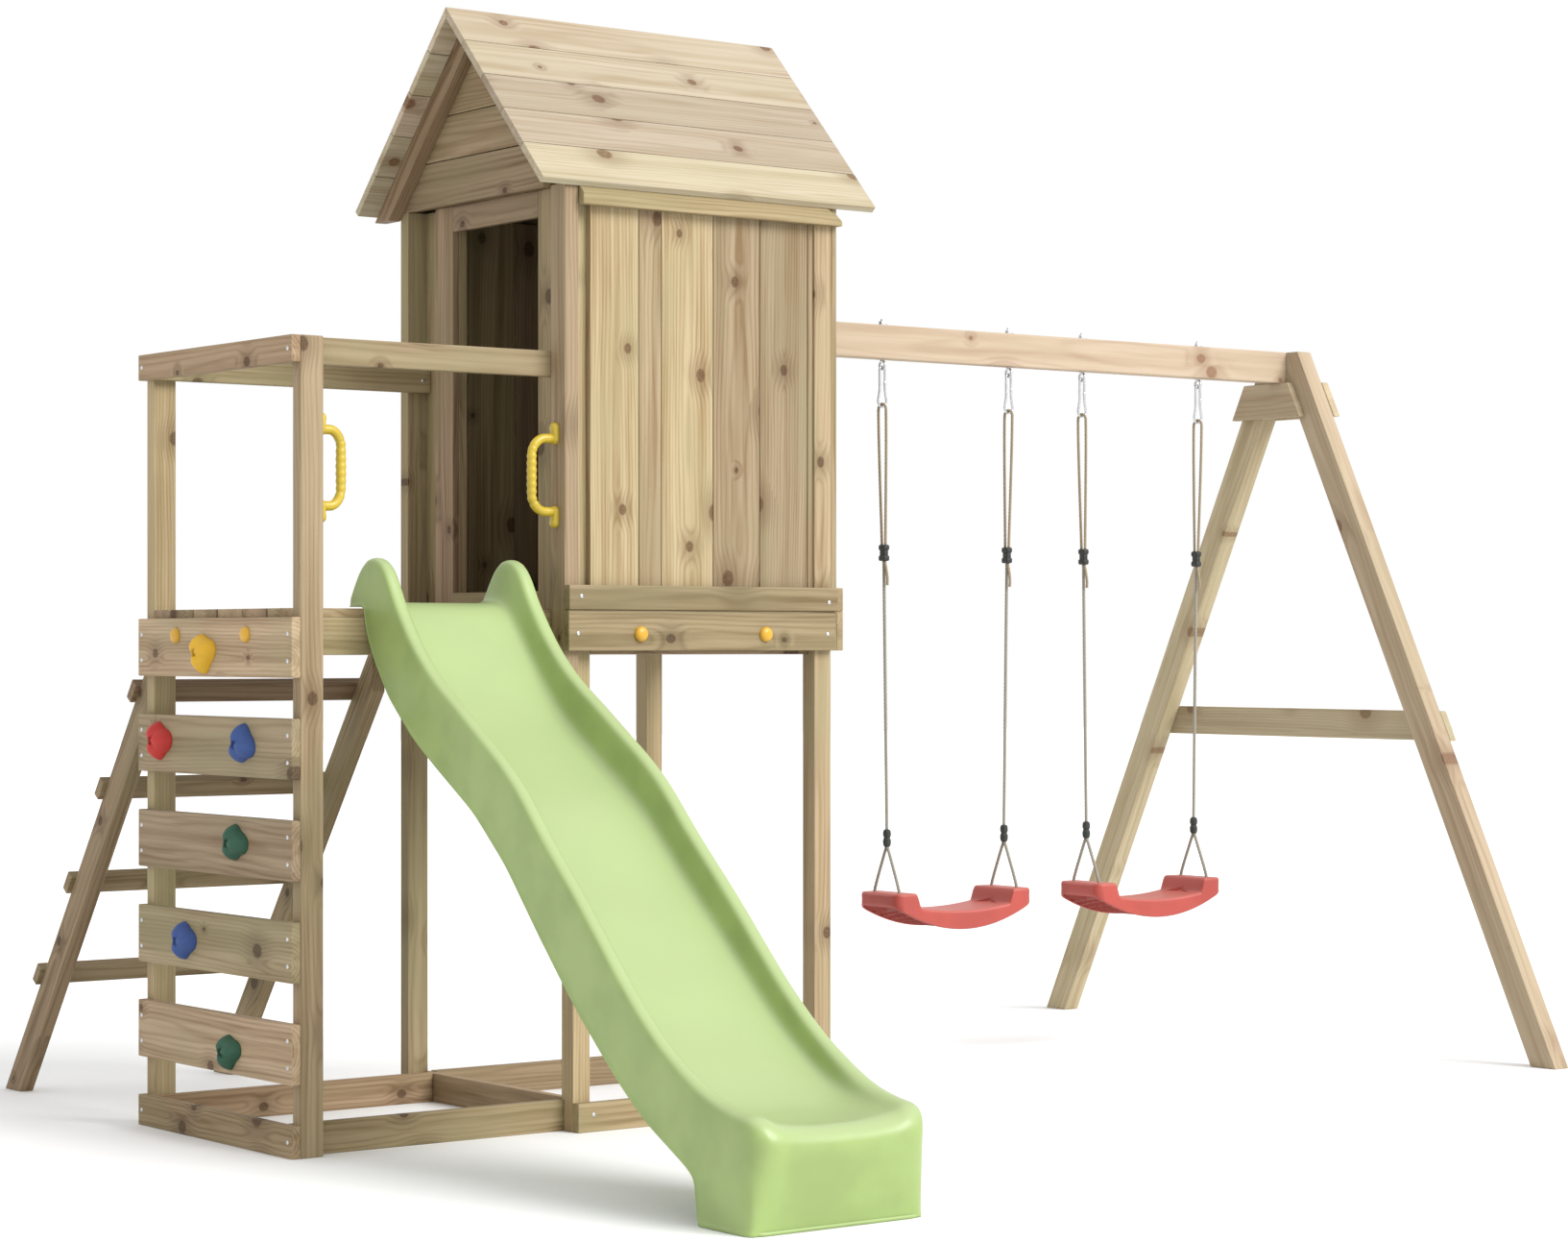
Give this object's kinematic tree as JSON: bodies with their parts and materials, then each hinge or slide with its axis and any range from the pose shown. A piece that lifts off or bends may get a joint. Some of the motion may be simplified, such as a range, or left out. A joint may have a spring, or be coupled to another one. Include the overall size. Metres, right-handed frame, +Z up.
{
  "type": "wooden playset",
  "caption": "Timber playset: raised deck with a climbing wall of boards and holds, ladder, wavy slide, roofed tower and a double swing on an A-frame.",
  "frame": {"origin": "the middle of the footprint, at ground level", "axes": "+X from the climbing wall to the swing's A-frame, +Y from the slide's exit to the ladder's foot, +Z up"},
  "size_m": [3.6269, 3.029, 2.648],
  "materials": {
    "tower_timber": "sawn and pressure treated, matt",
    "plank_timber": "planed and pressure treated, matt, with knots",
    "swing_timber": "planed, pale, matt",
    "slide_plastic": "blow-moulded, satin",
    "seat_plastic": "moulded, satin",
    "yellow_plastic": "moulded, satin",
    "hold_red_plastic": "cast resin, grained",
    "hold_yellow_plastic": "cast resin, grained",
    "hold_blue_plastic": "cast resin, grained",
    "hold_green_plastic": "cast resin, grained",
    "zinc_steel": "zinc plated",
    "rope": "laid polyhemp rope, matt",
    "fitting_plastic": "moulded, matt"
  },
  "bodies": {
    "frame": {"wall_post_near": "tower_timber", "wall_post_far": "tower_timber", "inner_post_near": "tower_timber", "inner_post_far": "tower_timber", "tower_post_front_left": "tower_timber", "tower_post_front_right": "tower_timber", "tower_post_back_right": "tower_timber", "swing_beam_stud": "tower_timber", "climbing_board_1": "plank_timber", "climbing_board_2": "plank_timber", "climbing_board_3": "plank_timber", "climbing_board_4": "plank_timber", "climbing_board_5": "plank_timber", "wall_base_plank": "tower_timber", "wall_top_beam": "tower_timber", "guard_rails": "tower_timber", "base_beams": "tower_timber", "tower_base_boards": "tower_timber", "deck_frame": "tower_timber", "deck_boards": "plank_timber", "tower_floor_boards": "plank_timber", "ladder_rail_left": "tower_timber", "ladder_rail_right": "tower_timber", "ladder_rungs": "tower_timber", "slide": "slide_plastic", "upper_skirt_boards": "tower_timber", "lower_skirt_boards": "tower_timber", "front_wall_planks": "plank_timber", "back_wall_planks": "plank_timber", "side_wall_planks": "plank_timber", "door_wall_planks": "plank_timber", "door_frame": "tower_timber", "gable_boards": "plank_timber", "rafters": "tower_timber", "eave_purlins": "tower_timber", "roof_planks_front": "plank_timber", "roof_planks_back": "plank_timber", "swing_beam": "swing_timber", "aframe_leg_near": "swing_timber", "aframe_leg_far": "swing_timber", "aframe_gusset_front": "swing_timber", "aframe_gusset_rear": "swing_timber", "aframe_crossbar": "swing_timber", "handle_left": "yellow_plastic", "handle_right": "yellow_plastic", "hold_red": "hold_red_plastic", "hold_yellow": "hold_yellow_plastic", "holds_blue": "hold_blue_plastic", "holds_green": "hold_green_plastic", "bolt_caps": "yellow_plastic", "screws": "zinc_steel", "eye_bolts": "zinc_steel"},
    "swing_a": {"swing_a_hooks": "zinc_steel", "swing_a_ropes": "rope", "swing_a_rope_fittings": "fitting_plastic", "swing_a_seat": "seat_plastic"},
    "swing_b": {"swing_b_hooks": "zinc_steel", "swing_b_ropes": "rope", "swing_b_rope_fittings": "fitting_plastic", "swing_b_seat": "seat_plastic"}
  },
  "joints": [
    {"name": "swing_a_hinge", "type": "hinge", "parent": "frame", "child": "swing_a", "pos_m": [0.4785, 0.4295, 1.866], "axis": [1, 0, 0], "range_deg": [-60, 60]},
    {"name": "swing_b_hinge", "type": "hinge", "parent": "frame", "child": "swing_b", "pos_m": [1.1825, 0.4295, 1.866], "axis": [1, 0, 0], "range_deg": [-60, 60]}
  ]
}
